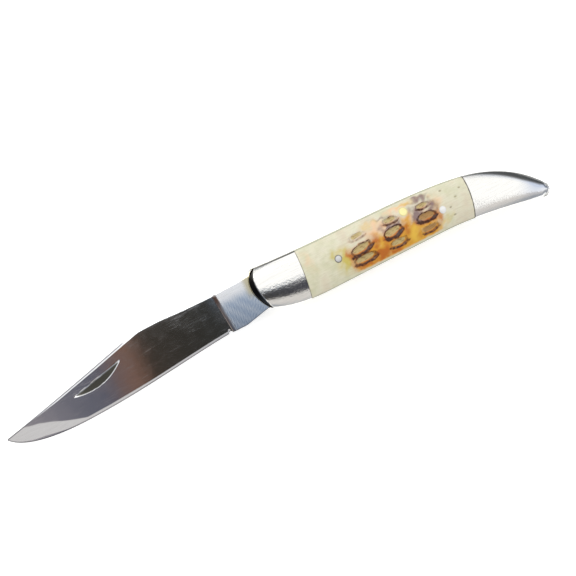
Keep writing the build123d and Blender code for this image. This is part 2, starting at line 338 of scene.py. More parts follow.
def polished_metal(name, colour, roughness, lines, depth, shade_and_tints=(), dents=None, scratches=0.0):
    """Polished metal. Roughness gives the least and the most, which change in soft clouds. Lines
    gives the direction in degrees and the spacing in mm of the marks the wheel leaves, depth their
    relief in mm; they also carry a faint grey haze. Shade and tints are attributes with the colour
    each one brings, mostly painted shade and painted reflections. Dents gives the size and relief
    in mm of small unevenness, and scratches how much rougher than the rest a few straight wear
    lines are."""
    material, tree, shader, place = new_material(name)
    angle, spacing = lines
    marks = wheel_marks(tree, place, angle, 0.04, spacing, 0.65)
    clouds = node(
        tree, "ShaderNodeTexNoise", {"Vector": place, "Scale": 1 / (2.6 * MM), "Detail": 3}
    ).outputs[0]
    least, most = roughness
    rough = node(
        tree,
        "ShaderNodeMapRange",
        {"Value": clouds, "From Min": 0.3, "From Max": 0.7, "To Min": least, "To Max": most},
    ).outputs[0]
    haze = node(
        tree,
        "ShaderNodeMapRange",
        {"Value": marks, "From Min": 0.4, "From Max": 0.8, "To Max": 0.16},
    ).outputs[0]
    tone = node(
        tree, "ShaderNodeMix", {0: haze, 6: linear(colour), 7: linear("#8F8C88")}, data_type="RGBA"
    ).outputs[2]
    if scratches:
        for direction in (12, 68, -33, -75):
            line = node(
                tree,
                "ShaderNodeMapRange",
                {
                    "Value": wheel_marks(tree, place, direction, 0.05, 0.3, 0.5),
                    "From Min": 0.655,
                    "From Max": 0.69,
                    "To Max": scratches,
                },
            ).outputs[0]
            rough = node(
                tree, "ShaderNodeMath", {0: line, 1: rough}, operation="ADD", use_clamp=True
            ).outputs[0]
    # Painted shade, painted reflections and other tints, each laid over the colour by its
    # attribute.
    for field, tint in shade_and_tints:
        amount = node(tree, "ShaderNodeAttribute", attribute_name=field).outputs["Fac"]
        tone = node(
            tree, "ShaderNodeMix", {0: amount, 6: tone, 7: linear(tint)}, data_type="RGBA"
        ).outputs[2]
    relief = node(
        tree, "ShaderNodeBump", {"Height": marks, "Distance": depth * MM, "Strength": 1.0}
    ).outputs[0]
    if dents:
        size, dent_depth = dents
        pits = node(
            tree,
            "ShaderNodeTexNoise",
            {"Vector": place, "Scale": 1 / (size * MM), "Detail": 3, "Roughness": 0.6},
        ).outputs[0]
        relief = node(
            tree,
            "ShaderNodeBump",
            {"Height": pits, "Distance": dent_depth * MM, "Strength": 1.0, "Normal": relief},
        ).outputs[0]
    tree.links.new(tone, shader.inputs["Base Color"])
    tree.links.new(rough, shader.inputs["Roughness"])
    tree.links.new(relief, shader.inputs["Normal"])
    shader.inputs["Metallic"].default_value = 1.0
    return material


# ---- sizes and colours ----


class KnifeSizes(bpy.types.PropertyGroup):
    """Sizes of the finish that grinding and polishing give the pieces."""

    crown_drop: bpy.props.FloatProperty(
        name="Crown drop",
        description="How much lower the edge of the covers is than their middle",
        default=1.35 * MM,
        unit="LENGTH",
    )
    edge_round: bpy.props.FloatProperty(
        name="Edge round",
        description="Small rounding between the crown and the side wall",
        default=0.35 * MM,
        unit="LENGTH",
    )
    front_setback: bpy.props.FloatProperty(
        name="Front setback",
        description="How far the front bolster's top edge stands behind its foot",
        default=1.1 * MM,
        unit="LENGTH",
    )
    jig_depth: bpy.props.FloatProperty(
        name="Jigging depth",
        description="Depth of the pockets cut in the bone",
        default=0.55 * MM,
        unit="LENGTH",
    )
    nick_depth: bpy.props.FloatProperty(
        name="Nail nick depth",
        description="Depth of the nail nick at its straight side",
        default=0.25 * MM,
        unit="LENGTH",
    )
    bevel_width: bpy.props.FloatProperty(
        name="Cutting bevel",
        description="Width of the bevel that makes the cutting edge",
        default=0.6 * MM,
        unit="LENGTH",
    )


class KnifeColours(bpy.types.PropertyGroup):
    """Base colours of the materials."""

    bone: bpy.props.FloatVectorProperty(
        name="Bone",
        description="Undyed bone",
        subtype="COLOR",
        size=4,
        min=0,
        max=1,
        default=linear("#D9D5BE"),
    )
    floor: bpy.props.FloatVectorProperty(
        name="Floor",
        description="The floor the knife lies on",
        subtype="COLOR",
        size=4,
        min=0,
        max=1,
        default=linear("#F8F8F7"),
    )


# ---- blade ----

# Shares of the upper and the lower path that the blade's cross lines join. The lines lean with
# the plunge where the grinding ends, and stand upright where the tang leaves the blade.
CROSS_UPPER = (0.004, 0.2, 0.42, 0.60, 0.705, 0.80, 0.872, 0.917, 0.957, 0.995)
CROSS_LOWER = (0.004, 0.2, 0.42, 0.63, 0.745, 0.79, 0.858, 0.915, 0.955, 0.995)
CROSS_COUNT = (70, 100, 70, 90, 30, 16, 12, 10, 10)


def blade_grid(rows=88):
    """Straight lines between paired points of the upper and the lower path, with the width of the
    blade along them above the edge and below the spine. Points along a line are spaced three
    quarters evenly and one quarter as a cosine, so they are closer together near its ends."""
    paths = []
    for path, stops in ((LOWER, CROSS_LOWER), (UPPER, CROSS_UPPER)):
        spans = zip(stops, stops[1:], CROSS_COUNT)
        shares = [np.linspace(start, end, count, endpoint=False) for start, end, count in spans]
        paths.append(along(path, np.concatenate([*shares, stops[-1:]])))
    lower, upper = paths
    across = spread(rows, 0.25)
    ground = lower[:, None] * (1 - across[:, None]) + upper[:, None] * across[:, None]
    width = np.hypot(*(upper - lower).T)[:, None]
    return ground, across * width, (1 - across) * width


def nick_field(x, y):
    """How deep the nail nick is, from 0 to 1, and where its floor lies. It gets deep quickly below
    its straight side, then evenly shallower to its curved side, a parabola. Along is measured on
    the straight side and down square to it."""
    start, end, widest = np.array((-49.0, -1.6)), np.array((-37.6, 1.15)), 1.6
    length = np.hypot(*(end - start))
    along_x, along_y = (end - start) / length
    share = ((x - start[0]) * along_x + (y - start[1]) * along_y) / length
    down = (x - start[0]) * along_y - (y - start[1]) * along_x
    reach = widest * np.clip(4 * share * (1 - share), 0, 1)
    wall = smooth(down, -0.02, 0.28) * smooth(reach - down, -0.02, 0.07)
    inside = (share > 0) & (share < 1)
    slope = 1 - 0.9 * np.clip(down / np.maximum(reach, 0.05), 0, 1)
    floor = smooth(down, 0.17, 0.26) * smooth(reach - down, -0.02, 0.03)
    return wall * slope * inside, floor * inside


def build_blade(sizes):
    """Half thickness over the outline: the tang's, or the flat grind that thins evenly towards the
    edge, less a bevel at the edge, a belly that is rolled towards the tip, a chamfer along the
    spine and the nail nick. The roll is a hyperbola: the root of the squared distance inside the
    roll's width plus the squared blend, less the blend, times a slope."""
    edge_low, spine_high = -7.15, 5.02
    half_low, half_high, half_tang, half_at_edge = 0.22, 0.78, 0.9, 0.03
    roll_at, roll_widths = (-60, -57, -54.6, -52, -49.3, -46), (3.3, 3.5, 3.0, 2.0, 1.1, 0.0)
    roll_slope, roll_blend = 0.075, 0.2
    plunge_x, plunge_y, plunge_lean = -14.7, 4.95, np.tan(np.radians(5.5))
    chamfer_at, chamfer_widths = (-62, -52, -27, -22, -16), (0.02, 0.42, 0.5, 0.9, 1.15)
    chamfer_slope, chamfer_ends = 0.34, -2
    nick_backing = 0.06

    grid, from_edge, from_spine = blade_grid()
    x, y = grid[..., 0], grid[..., 1]
    grind = half_low + (half_high - half_low) * (y - edge_low) / (spine_high - edge_low)
    inside_roll = np.clip(np.interp(x, roll_at, roll_widths) - from_edge, 0, None)
    grind = grind - roll_slope * (np.hypot(inside_roll, roll_blend) - roll_blend)
    plunge = plunge_x + (plunge_y - y) * plunge_lean
    behind = smooth(x, plunge - 0.5, plunge + 0.45)
    strip = smooth(x, plunge - 0.5, plunge - 0.3) * (1 - smooth(x, plunge + 0.2, plunge + 0.42))
    half = grind * (1 - behind) + half_tang * behind
    share = np.clip(from_edge / (sizes.bevel_width / MM), 0, 1)
    bevelled = half_at_edge + (half - half_at_edge) * share
    sharpened = smooth(x, -14.6, -15.1)
    half = half * (1 - sharpened) + bevelled * sharpened
    chamfer = np.interp(x, chamfer_at, chamfer_widths)
    cut_off = chamfer_slope * chamfer * np.clip(1 - from_spine / chamfer, 0, 1)
    half = np.maximum(half - cut_off * (x < chamfer_ends), half_at_edge)
    nick, floor = nick_field(x, y)
    nick = np.minimum(nick * sizes.nick_depth / MM, half - nick_backing)
    top = np.dstack([grid, MIDDLE + half - nick])
    bottom = np.dstack([grid, MIDDLE - half])
    points, faces = shell(top, bottom)
    # Painted shade: a thin grey line along the spine and along the cutting edge.
    outline = np.maximum(smooth(from_spine, 0.36, 0.16), 0.8 * smooth(from_edge, 0.3, 0.12))
    # The upper tang is coloured beige next to the front bolster.
    beige_by_bolster = smooth(x, -8.6, -7.2) * smooth(y, -0.5, 2.0)
    # Painted reflection: blue in brush-like streaks on the lower tang, fading towards its top.
    brushed_blue_reflection = behind * smooth(y, 3.4, 0.9) * (0.8 + 0.45 * ripple(2.5 * x, 0.35 * y, 0.9))
    fields = {
        # Painted shade: the nail nick's floor is painted dark.
        "nick": np.concatenate([floor.ravel(), floor.ravel() * 0]),
        # Painted shade: a dark brown strip along the plunge, where the grind meets the tang.
        "plunge": np.tile((strip * smooth(y, 5.0, 3.8)).ravel(), 2),
        "tang": np.tile(behind.ravel(), 2),
        "brushed_blue_reflection": np.tile(np.clip(brushed_blue_reflection, 0, 1).ravel(), 2),
        "beige_by_bolster": np.tile(beige_by_bolster.ravel(), 2),
        "outline": np.tile(outline.ravel(), 2),
    }
    return points, faces, fields


def blade_steel():
    """Polished stainless steel, buffed on a soft wheel: a mirror with fine hazy lines, a duller,
    brush-finished tang and a dull floor in the nail nick. Painted shade darkens the nail nick's
    floor, a strip along the plunge and a thin line along the spine and the edge; a painted blue
    reflection lies in streaks on the lower tang, and the tang is coloured beige next to the front
    bolster. The buffing lines are about 0.02 mm apart on such a blade and are drawn 0.12 mm apart
    so that they show."""
    material = polished_metal(
        "polished_stainless_steel",
        "#E4E5E7",
        (0.06, 0.1),
        (72, 0.12),
        0.00022,
        (
            # painted shade on the nail nick's floor
            ("nick", "#3E3D38"),
            # painted shade along the plunge
            ("plunge", "#5A4A46"),
            # painted blue reflection on the lower tang
            ("brushed_blue_reflection", "#9AA9BC"),
            # beige on the tang next to the front bolster
            ("beige_by_bolster", "#BDB69E"),
            # painted shade along the spine and the edge
            ("outline", "#8A8A8E"),
        ),
        dents=(3.5, 0.006),
        scratches=0.05,
    )
    tree = material.node_tree
    shader = next(n for n in tree.nodes if n.type == "BSDF_PRINCIPLED")
    rough = shader.inputs["Roughness"].links[0].from_socket
    for field, duller in (("tang", 0.09), ("nick", 0.3)):
        amount = node(tree, "ShaderNodeAttribute", attribute_name=field).outputs["Fac"]
        rough = node(
            tree, "ShaderNodeMath", {0: amount, 1: duller, 2: rough}, operation="MULTIPLY_ADD"
        ).outputs[0]
    tree.links.new(rough, shader.inputs["Roughness"])
    return material


class KNIFE_OT_blade(bpy.types.Operator):
    """Make the clip-point blade with its tang, grind and nail nick"""

    bl_idname = "knife.blade"
    bl_label = "Blade"

    def execute(self, context):
        points, faces, fields = build_blade(context.scene.knife_sizes)
        finish = blade_steel()
        make_piece(
            "clip_blade", points, faces, "blade", "blade_steel", finish, ["blade"], fields, 24
        )
        return {"FINISHED"}


# ---- bolsters and scales ----


def crown(across, rim, sizes):
    """Height of a crowned cover: its top line less the drop times the distance from the middle to
    the crown's power, and less a quarter round where the rim is nearer than the edge's radius."""
    radius = sizes.edge_round / MM
    near = np.clip(1 - rim / radius, 0, 1)
    rounding = radius * (1 - np.sqrt(np.clip(1 - near**2, 0, 1)))
    return CROWN_TOP - sizes.crown_drop / MM * np.clip(across, 0, 1) ** CROWN_POWER - rounding


def ruled(lower, upper, v):
    """Straight lines from each lower point to its upper point, how far each of their points lies
    from the line's middle, 1 at its ends, and how far from its nearer end in mm."""
    grid = lower[:, None] * (1 - v[:, None]) + upper[:, None] * v[:, None]
    across = np.abs(2 * v - 1)[None] * np.ones(len(lower))[:, None]
    half = np.hypot(*(upper - lower).T)[:, None] / 2
    return grid, across, (1 - across) * half


def bow_of(path, v):
    """How far a path stands off the straight line between its ends, at shares of its length."""
    points = along(path, v)
    return points - (points[0] * (1 - v[:, None]) + points[-1] * v[:, None])


def build_front_bolster(sizes):
    """Ruled between belly and back, up to where the joint cuts them, plus the front edge's bow
    fading towards the joint; its front slopes down from a top edge that is set back."""
    slope_drop = 1.75
    belly_before, back_before = 3.9, 4.8
    u, v = spread(110, 0.35), spread(110)
    at_joint = np.array([FRONT_JOINT]), np.array([FRONT_LEAN])
    belly = np.concatenate([BELLY[BELLY[:, 0] < belly_before], cut(BELLY, *at_joint)])
    back = np.concatenate([BACK[BACK[:, 0] < back_before], cut(BACK, *at_joint)])
    grid, across, rim = ruled(along(belly, u), along(back, u), v)
    grid = grid + bow_of(FRONT, v) * ((1 - u) ** 1.5)[:, None, None]
    from_front = np.hypot(grid[..., 0] - grid[:1, :, 0], grid[..., 1] - grid[:1, :, 1])
    setback = sizes.front_setback / MM * (0.45 + 0.55 * np.sin(np.pi * v) ** 0.8)
    slope = np.clip(1 - from_front / setback, 0, 1)
    height = np.maximum(crown(across, rim, sizes) - slope_drop * slope, SEAT + LEAST_COVER)
    fields = {
        # Painted shade: the front slope is painted nearly black.
        "recess": smooth(slope, 0.02, 0.2),
        # Painted shade: a dark line along the back edge.
        "tarnish": smooth(rim, 0.42, 0.22) * (v > 0.5),
        "sheen": np.zeros_like(height),
    }
    return np.dstack([grid, height]), fields


def build_rear_bolster(sizes):
    """Ruled between belly and back from where the joint cuts them, plus the nose's bow growing
    towards the butt; the crown closes round the nose, and the whole gets a little thinner
    there."""
    nose_crown, thinner_at_butt = 2.4, 0.45
    belly_after, back_after = 47.2, 48.1
    u, v = spread(190, 0.3), spread(110)
    at_joint = np.array([REAR_JOINT]), np.array([REAR_LEAN])
    belly = np.concatenate([cut(BELLY, *at_joint), BELLY[BELLY[:, 0] > belly_after]])
    back = np.concatenate([cut(BACK, *at_joint), BACK[BACK[:, 0] > back_after]])
    grid, side, rim = ruled(along(belly, u), along(back, u), v)
    grid = grid + bow_of(NOSE[::-1], v) * (u**7)[:, None, None]
    from_nose = np.sqrt(((grid[:, :, None] - NOSE[None, None]) ** 2).sum(-1)).min(-1)
    end = np.clip(1 - from_nose / nose_crown, 0, 1)
    across = (side**4 + end**4) ** 0.25
    rim = np.minimum(rim, from_nose)
    height = crown(across, rim, sizes) - thinner_at_butt * (u[:, None] ** 3)
    # Painted shade: a dark band along the back edge, widening towards the butt, and a darker nose.
    band = np.interp(u, (0, 0.2, 0.45, 0.65, 0.85, 1), (0.15, 0.5, 1.2, 1.8, 1.8, 0.7))[:, None]
    dark_back = 0.9 * smooth(rim, band + 0.5, band - 0.25) * (v > 0.5)
    # Painted reflection: blue-grey beside the dark band and round a spot near the nose.
    beside_band = smooth(rim, band + 1.3, band) * smooth(u[:, None], 0.05, 0.3) * (v > 0.5)
    by_nose = spot(grid[..., 0], grid[..., 1], (64.2, -5.3), 3.6, 2.6)
    fields = {
        "recess": np.zeros_like(height),
        "tarnish": np.maximum(dark_back, 0.62 * smooth(from_nose, 1.1, 0.35)),
        "sheen": np.clip(0.75 * by_nose + 0.4 * beside_band, 0, 0.85),
    }
    return np.dstack([grid, np.maximum(height, SEAT + LEAST_COVER)]), fields


# Jigged pockets of a scale: middle, length, width, tilt in degrees and depth against the deepest.
POCKETS = np.array(
    [
        (18.66, 2.37, 3.9, 1.5, 2.0, 0.45),
        (18.5, -0.54, 5.4, 2.3, 8.5, 1.0),
        (18.53, -2.87, 5.7, 2.1, 0.6, 1.0),
        (27.15, 2.24, 3.8, 1.6, -2.5, 0.8),
        (26.72, -0.37, 4.7, 2.4, 7.0, 1.0),
        (27.08, -2.98, 4.6, 1.9, 0.0, 0.8),
        (35.58, 2.02, 3.5, 1.5, -2.0, 0.8),
        (35.5, -0.59, 4.9, 2.3, -2.6, 1.0),
        (35.27, -3.34, 4.5, 1.8, 2.0, 0.7),
    ]
)
POCKET_POWER = 2.4
PICK_MARKS = np.array(
    [(45.64, 2.1), (43.76, 0.61), (41.67, -1.12), (42.07, -3.06), (41.11, 3.24)]
)
PICK_DEPTH = 0.1

# Soft spots of dye on a scale: strength, place along and up, reach along and up.
DYE_SPOTS = {
    "amber": ((0.6, 22.5, 0.4, 1.6, 1.8), (0.7, 31.0, 0.3, 1.5, 1.9), (0.5, 38.2, 0.8, 1.6, 2.6)),
    "orange": (
        (1.15, 22.9, -3.5, 2.6, 1.7),
        (0.95, 21.9, -0.4, 1.0, 1.6),
        (0.75, 15.7, -1.0, 1.0, 1.3),
        (0.9, 18.5, -4.3, 3.4, 0.8),
        (0.85, 24.5, -4.3, 4.4, 0.9),
        (0.8, 29.9, -1.2, 1.2, 1.7),
        (0.55, 32.5, -3.4, 1.2, 1.1),
        (0.6, 38.1, -2.6, 1.0, 1.6),
    ),
    "yellow": (
        (1.0, 31.2, -3.0, 2.2, 1.9),
        (0.7, 23.4, -1.4, 1.6, 1.0),
        (0.6, 38.4, -3.8, 1.8, 0.8),
        (0.55, 33.5, 4.2, 4.5, 0.7),
        (0.5, 22.0, 3.4, 3.0, 1.0),
    ),
    "peach": (
        (1.0, 23.5, 1.7, 3.2, 1.8),
        (0.7, 30.0, 4.0, 4.6, 1.0),
        (0.8, 31.6, 0.9, 1.8, 1.3),
        (0.4, 6.6, 2.5, 1.5, 4.0),
        (0.5, 39.6, 2.0, 1.8, 1.8),
    ),
    "plum": (
        (0.95, 33.4, 0.8, 1.7, 2.4),
        (0.8, 37.6, 1.3, 1.5, 1.5),
        (0.75, 35.5, 3.8, 3.0, 0.8),
        (0.85, 26.9, 0.95, 3.2, 0.45),
        (0.6, 25.6, 3.6, 2.2, 0.5),
        (0.6, 24.4, 1.5, 0.9, 1.1),
    ),
    "green": (
        (0.85, 14.0, -1.2, 2.1, 3.0),
        (0.6, 12.3, 0.9, 1.7, 1.0),
        (0.45, 40.0, -3.0, 2.2, 1.2),
    ),
}


def superellipse(across, down):
    """Distance from the middle of a superellipse, 1 on its rim: the sum of both parts to its
    power, to one over its power."""
    return (np.abs(across) ** POCKET_POWER + np.abs(down) ** POCKET_POWER) ** (1 / POCKET_POWER)


def pocket_field(x, y):
    """How far out of each pocket a point lies, 0 in its middle and 1 on its rim, how far towards
    the back of the knife, 1 on the rim, and how far out of its floor, which lies nearer to the
    back. Two ripples make the rims uneven."""
    cx, cy, length, width, tilt = (POCKETS[:, k] for k in range(5))
    c, s = np.cos(np.radians(tilt)), np.sin(np.radians(tilt))
    dx, dy = x[..., None] - cx, y[..., None] - cy
    lengthways = (dx * c + dy * s) / (length / 2)
    sideways = (dy * c - dx * s) / (width / 2)
    uneven = 1 + 0.11 * ripple(x, y, 1.9)[..., None] + 0.05 * ripple(x, y, 0.6)[..., None]
    floor = superellipse(lengthways, (sideways - 0.24) / 0.82)
    return superellipse(lengthways, sideways) * uneven, sideways, floor * uneven


def bone_fields(x, y, rim, out, sideways, floor):
    """Where each dye and scorch lies on a scale, as soft spots and bands round the pockets, with
    painted shade on the pockets' rims on the side of the knife's back and along the scale's edges.
    The dyes lie in wavy places: each coordinate is moved by a ripple."""
    wavy_x, wavy_y = x + 0.9 * ripple(x, y, 2.9), y + 0.9 * ripple(y, x, 2.3)
    dye = {name: spots(wavy_x, wavy_y, rows) for name, rows in DYE_SPOTS.items()}
    between_ends = smooth(wavy_x, 13.0, 18.2) * (1 - smooth(wavy_x, 35.5, 41.0))
    dye["amber"] = np.maximum(between_ends * smooth(wavy_y, 1.6, -1.2), dye["amber"])

    scorched = np.array([0.5, 1.0, 0.95, 0.8, 1.1, 0.75, 0.85, 1.1, 0.7])
    # Painted shade: a dark line on each pocket's rim on the side of the knife's back.
    back_rim = 0.8 * np.exp(-(((out - 1.02) / 0.09) ** 2)) * smooth(sideways, 0.2, 0.6)
    belly_wall = smooth(out, 0.5, 0.75) * (1 - smooth(out, 1.06, 1.36))
    belly_wall = belly_wall * smooth(sideways, 0.05, -0.5)
    ends = 0.6 * smooth(out, 0.7, 0.9) * (1 - smooth(out, 1.0, 1.14))
    # The dark rims: scorch on the belly-side walls and the ends, and painted shade on the back-side
    # rims.
    char = (scorched * np.maximum(np.maximum(back_rim, belly_wall), ends)).max(-1)
    char = char * (0.92 + 0.45 * ripple(x, y, 0.9))
    halo = scorched * smooth(out, 1.75, 1.0) * (0.6 + 0.4 * smooth(sideways, 0.5, -0.5))
    dye["orange"] = np.clip(np.maximum(dye["orange"], 0.75 * halo.max(-1)), 0, 1)

    from_mark_x = (x[..., None] - PICK_MARKS[:, 0]) / 1.6
    from_mark = np.hypot(from_mark_x, y[..., None] - PICK_MARKS[:, 1]).min(-1)
    inside = smooth(floor.min(-1), 0.86, 0.66)
    fields = {name: amount * smooth(rim, 0.3, 1.1) for name, amount in dye.items()}
    return fields | {
        "plum": dye["plum"] * smooth(rim, 0.1, 0.7),
        "pocket": inside,
        "warm": inside * smooth(x, 30, 33) * smooth(y, 1.0, 0.4),
        "fibre": inside * smooth(ripple(0.35 * x, y, 0.45), -0.1, 0.5),
        "char": np.clip(char, 0, 1),
        "grime": smooth(from_mark, 0.34, 0.08),
        # Painted shade: darker grey-green along the back and belly edges.
        "edge": smooth(rim, 0.42, 0.12),
    }


def build_scale(sizes):
    """Ruled between belly and back with lines leaning from the front joint's angle to the rear
    one's, crowned, with pockets whose floors are bowls: depth falls with the power 0.75 of one
    less the square of the distance out."""
    u, v = np.linspace(0, 1, 400), spread(104)
    span = REAR_JOINT - FRONT_JOINT
    x_at = FRONT_JOINT + span * u
    lean = FRONT_LEAN + (REAR_LEAN - FRONT_LEAN) * u
    grid, across, rim = ruled(cut(BELLY, x_at, lean), cut(BACK, x_at, lean), v)
    x, y = grid[..., 0], grid[..., 1]
    out, sideways, floor = pocket_field(x, y)
    depth = (np.clip(1 - out**2, 0, 1) ** 0.75 * POCKETS[:, 5]).max(-1) * sizes.jig_depth / MM
    fields = bone_fields(x, y, rim, out, sideways, floor)
    seam = np.maximum(smooth(u * span, 0.17, 0.05), 0.85 * smooth((1 - u) * span, 0.34, 0.16))
    fields["seam"] = seam[:, None] * np.ones_like(v)
    height = crown(across, rim, sizes) - depth - PICK_DEPTH * fields["grime"]
    return np.dstack([grid, np.maximum(height, SEAT + LEAST_COVER)]), fields


def jigged_bone(colour):
    """Cattle bone, jigged, dyed amber with scorched pockets, and buffed to a soft gloss. The eye
    sees warm translucent ivory, uneven dye that pools round the cuts, and fine pores running
    lengthwise. The pockets' rims on the side of the knife's back and the scale's edges are darkened
    as painted shade. The pores are about 0.05 mm wide and are drawn 0.16 mm wide so that they show."""
    material, tree, shader, place = new_material("jigged_amber_bone")
    stretched = node(
        tree, "ShaderNodeMapping", {"Vector": place, "Scale": (0.12, 1, 1)}
    ).outputs[0]
    blotch, clouds, pores = (
        node(
            tree,
            "ShaderNodeTexNoise",
            {"Vector": at, "Scale": 1 / (size * MM), "Detail": detail, "Roughness": roughness},
        ).outputs[0]
        for at, size, detail, roughness in (
            (place, 1.7, 5, 0.6),
            (place, 4.5, 4, 0.55),
            (stretched, 0.32, 3, 0.7),
        )
    )
    unevenness, gloss = (
        node(
            tree,
            "ShaderNodeMapRange",
            {"Value": blotch, "From Min": 0.3, "From Max": 0.7, "To Min": low, "To Max": high},
        ).outputs[0]
        for low, high in ((0.62, 1.38), (0.3, 0.42))
    )
    tone = tuple(colour)
    for pattern, low, high, most, shade in (
        (clouds, 0.5, 0.68, 0.75, "#D2C5AE"),
        (clouds, 0.5, 0.34, 0.75, "#C7C7A6"),
        (pores, 0.45, 0.8, 0.5, "#B9B193"),
    ):
        share = node(
            tree,
            "ShaderNodeMapRange",
            {"Value": pattern, "From Min": low, "From Max": high, "To Max": most},
        ).outputs[0]
        tone = node(
            tree, "ShaderNodeMix", {0: share, 6: tone, 7: linear(shade)}, data_type="RGBA"
        ).outputs[2]
    layers = (
        ("peach", "#E8C29C", 0.85),
        ("green", "#C6B65F", 1.0),
        ("amber", "#D39B33", 1.0),
        ("yellow", "#DDB545", 0.9),
        ("orange", "#B4611B", 0.95),
        ("plum", "#88726F", 1.0),
        ("pocket", "#BFAC78", 0.95),
        ("warm", "#A97F4C", 0.9),
        ("fibre", "#8A6A3C", 0.6),
        # scorch in the pockets' walls, and painted shade on their back-side rims
        ("char", "#42200F", 1.0),
        ("grime", "#8C8262", 0.7),
        # painted shade along the back and belly edges
        ("edge", "#A2A48C", 0.9),
        ("seam", "#3C382E", 1.0),
    )
    for field, dye, most in layers:
        amount = node(tree, "ShaderNodeAttribute", attribute_name=field).outputs["Fac"]
        uneven = node(
            tree, "ShaderNodeMath", {0: amount, 1: unevenness}, operation="MULTIPLY"
        ).outputs[0]
        share = node(
            tree,
            "ShaderNodeMapRange",
            {"Value": uneven, "From Min": 0.06, "From Max": 0.95, "To Max": most},
            interpolation_type="SMOOTHSTEP",
        ).outputs[0]
        tone = node(
            tree, "ShaderNodeMix", {0: share, 6: tone, 7: linear(dye)}, data_type="RGBA"
        ).outputs[2]
    relief = node(
        tree, "ShaderNodeBump", {"Height": pores, "Distance": 0.02 * MM, "Strength": 0.7}
    ).outputs[0]
    tree.links.new(tone, shader.inputs["Base Color"])
    tree.links.new(gloss, shader.inputs["Roughness"])
    tree.links.new(relief, shader.inputs["Normal"])
    shader.inputs["IOR"].default_value = 1.54
    shader.inputs["Specular IOR Level"].default_value = 0.3
    shader.inputs["Subsurface Weight"].default_value = 0.12
    shader.inputs["Subsurface Radius"].default_value = (1.0, 0.7, 0.4)
    shader.inputs["Subsurface Scale"].default_value = 0.6 * MM
    return material


def nickel_silver():
    """Nickel silver, hand polished: a slightly warm white metal with a mirror finish and faint hazy
    marks from pocket wear. The wear marks are about 0.03 mm apart and are drawn 0.2 mm apart so
    that they show. Painted shade makes the front slope nearly black and darkens the back edges and
    the rear bolster's nose; a painted blue reflection lies near the nose."""
    return polished_metal(
        "polished_nickel_silver",
        "#F0EFEB",
        (0.06, 0.14),
        (20, 0.2),
        0.0009,
        # painted blue reflection, painted shade on the back edges and nose, painted shade on the
        # front slope
        (("sheen", "#B0BACE"), ("tarnish", "#5E5D58"), ("recess", "#161412")),
        dents=(0.45, 0.03),
        scratches=0.07,
    )


class KNIFE_OT_covers(bpy.types.Operator):
    """Make the front bolsters, the jigged scales and the rear bolsters of both sides"""

    bl_idname = "knife.covers"
    bl_label = "Bolsters and scales"

    def execute(self, context):
        sizes = context.scene.knife_sizes
        metal = nickel_silver()
        bone = jigged_bone(context.scene.knife_colours.bone)
        covers = (
            ("front_bolster", build_front_bolster, "nickel_silver", metal),
            ("scale", build_scale, "jigged_bone", bone),
            ("rear_bolster", build_rear_bolster, "nickel_silver", metal),
        )
        for name, build, slot, finish in covers:
            top, fields = build(sizes)
            points, faces = slab(top, SEAT)
            foot = np.zeros(len(points) - top.shape[0] * top.shape[1])
            values = {k: np.concatenate([f.ravel(), foot]) for k, f in fields.items()}
            for side, turn in (("mark_side", False), ("pile_side", True)):
                shape = mirrored(points, faces) if turn else (points, faces)
                part = f"{name}_{side}"
                make_piece(f"crowned_{part}", *shape, "handle", slot, finish, [part], values)
        return {"FINISHED"}


# ---- pins ----


def head_height(y, sizes):
    """Height of the crowned scale where its edges are straight: the crown's formula, with y from
    the pivot axis towards the back."""
    middle, half = -0.1, 5.55
    return CROWN_TOP - sizes.crown_drop / MM * np.abs((y - middle) / half) ** CROWN_POWER


def pin_profile(radius, foot, head, dome=PIN_DOME):
    """Radius and height from the foot's middle to the head's: straight sides, small rounded
    corners and slightly domed ends."""
    share = np.linspace(0, 1, 9)
    r = radius * np.sin(share * np.pi / 2)
    rise = dome * (1 - (r / radius) ** 2)
    lower = np.stack([r, foot - rise], 1)[1:]
    upper = np.stack([r, head + rise], 1)[:0:-1]
    return np.concatenate([lower, upper])


def follow_crown(points, centre, sizes, both):
    """Tilts a pin's head, or both of its ends, to the scale's surface: each end point moves by
    the crown's height there less its height at the pin's middle."""
    end_zone = 1.2
    change = head_height(points[:, 1], sizes) - head_height(centre[1], sizes)
    upper = points[:, 2] > TOP - end_zone
    lower = points[:, 2] < end_zone
    moved = points.copy()
    moved[:, 2] += np.where(upper, change, 0) - np.where(lower & both, change, 0)
    return moved


def pin_metal(name, colour, centre, radius, ring):
    """Drawn wire for pins, headed and ground flush: bright, with a dark line where it meets the
    bone. The line is 0.3 mm wide, and ring says how dark it gets."""
    material = polished_metal(name, colour, (0.32, 0.45), (0, 0.15), 0.0008)
    tree = material.node_tree
    shader = next(n for n in tree.nodes if n.type == "BSDF_PRINCIPLED")
    tone = shader.inputs["Base Color"].links[0].from_socket
    place = next(n for n in tree.nodes if n.type == "TEX_COORD").outputs["Object"]
    off = node(
        tree,
        "ShaderNodeVectorMath",
        {0: place, 1: (centre[0] * MM, centre[1] * MM, 0)},
        operation="SUBTRACT",
    ).outputs[0]
    flat = node(
        tree, "ShaderNodeVectorMath", {0: off, 1: (1, 1, 0)}, operation="MULTIPLY"
    ).outputs[0]
    distance = node(tree, "ShaderNodeVectorMath", {0: flat}, operation="LENGTH").outputs["Value"]
    inner, outer = (radius - 0.3) * MM, radius * MM
    rim = node(
        tree,
        "ShaderNodeMapRange",
        {"Value": distance, "From Min": inner, "From Max": outer, "To Max": ring},
    ).outputs[0]
    ringed = node(
        tree, "ShaderNodeMix", {0: rim, 6: tone, 7: linear("#3A3226")}, data_type="RGBA"
    ).outputs[2]
    tree.links.new(ringed, shader.inputs["Base Color"])
    return material


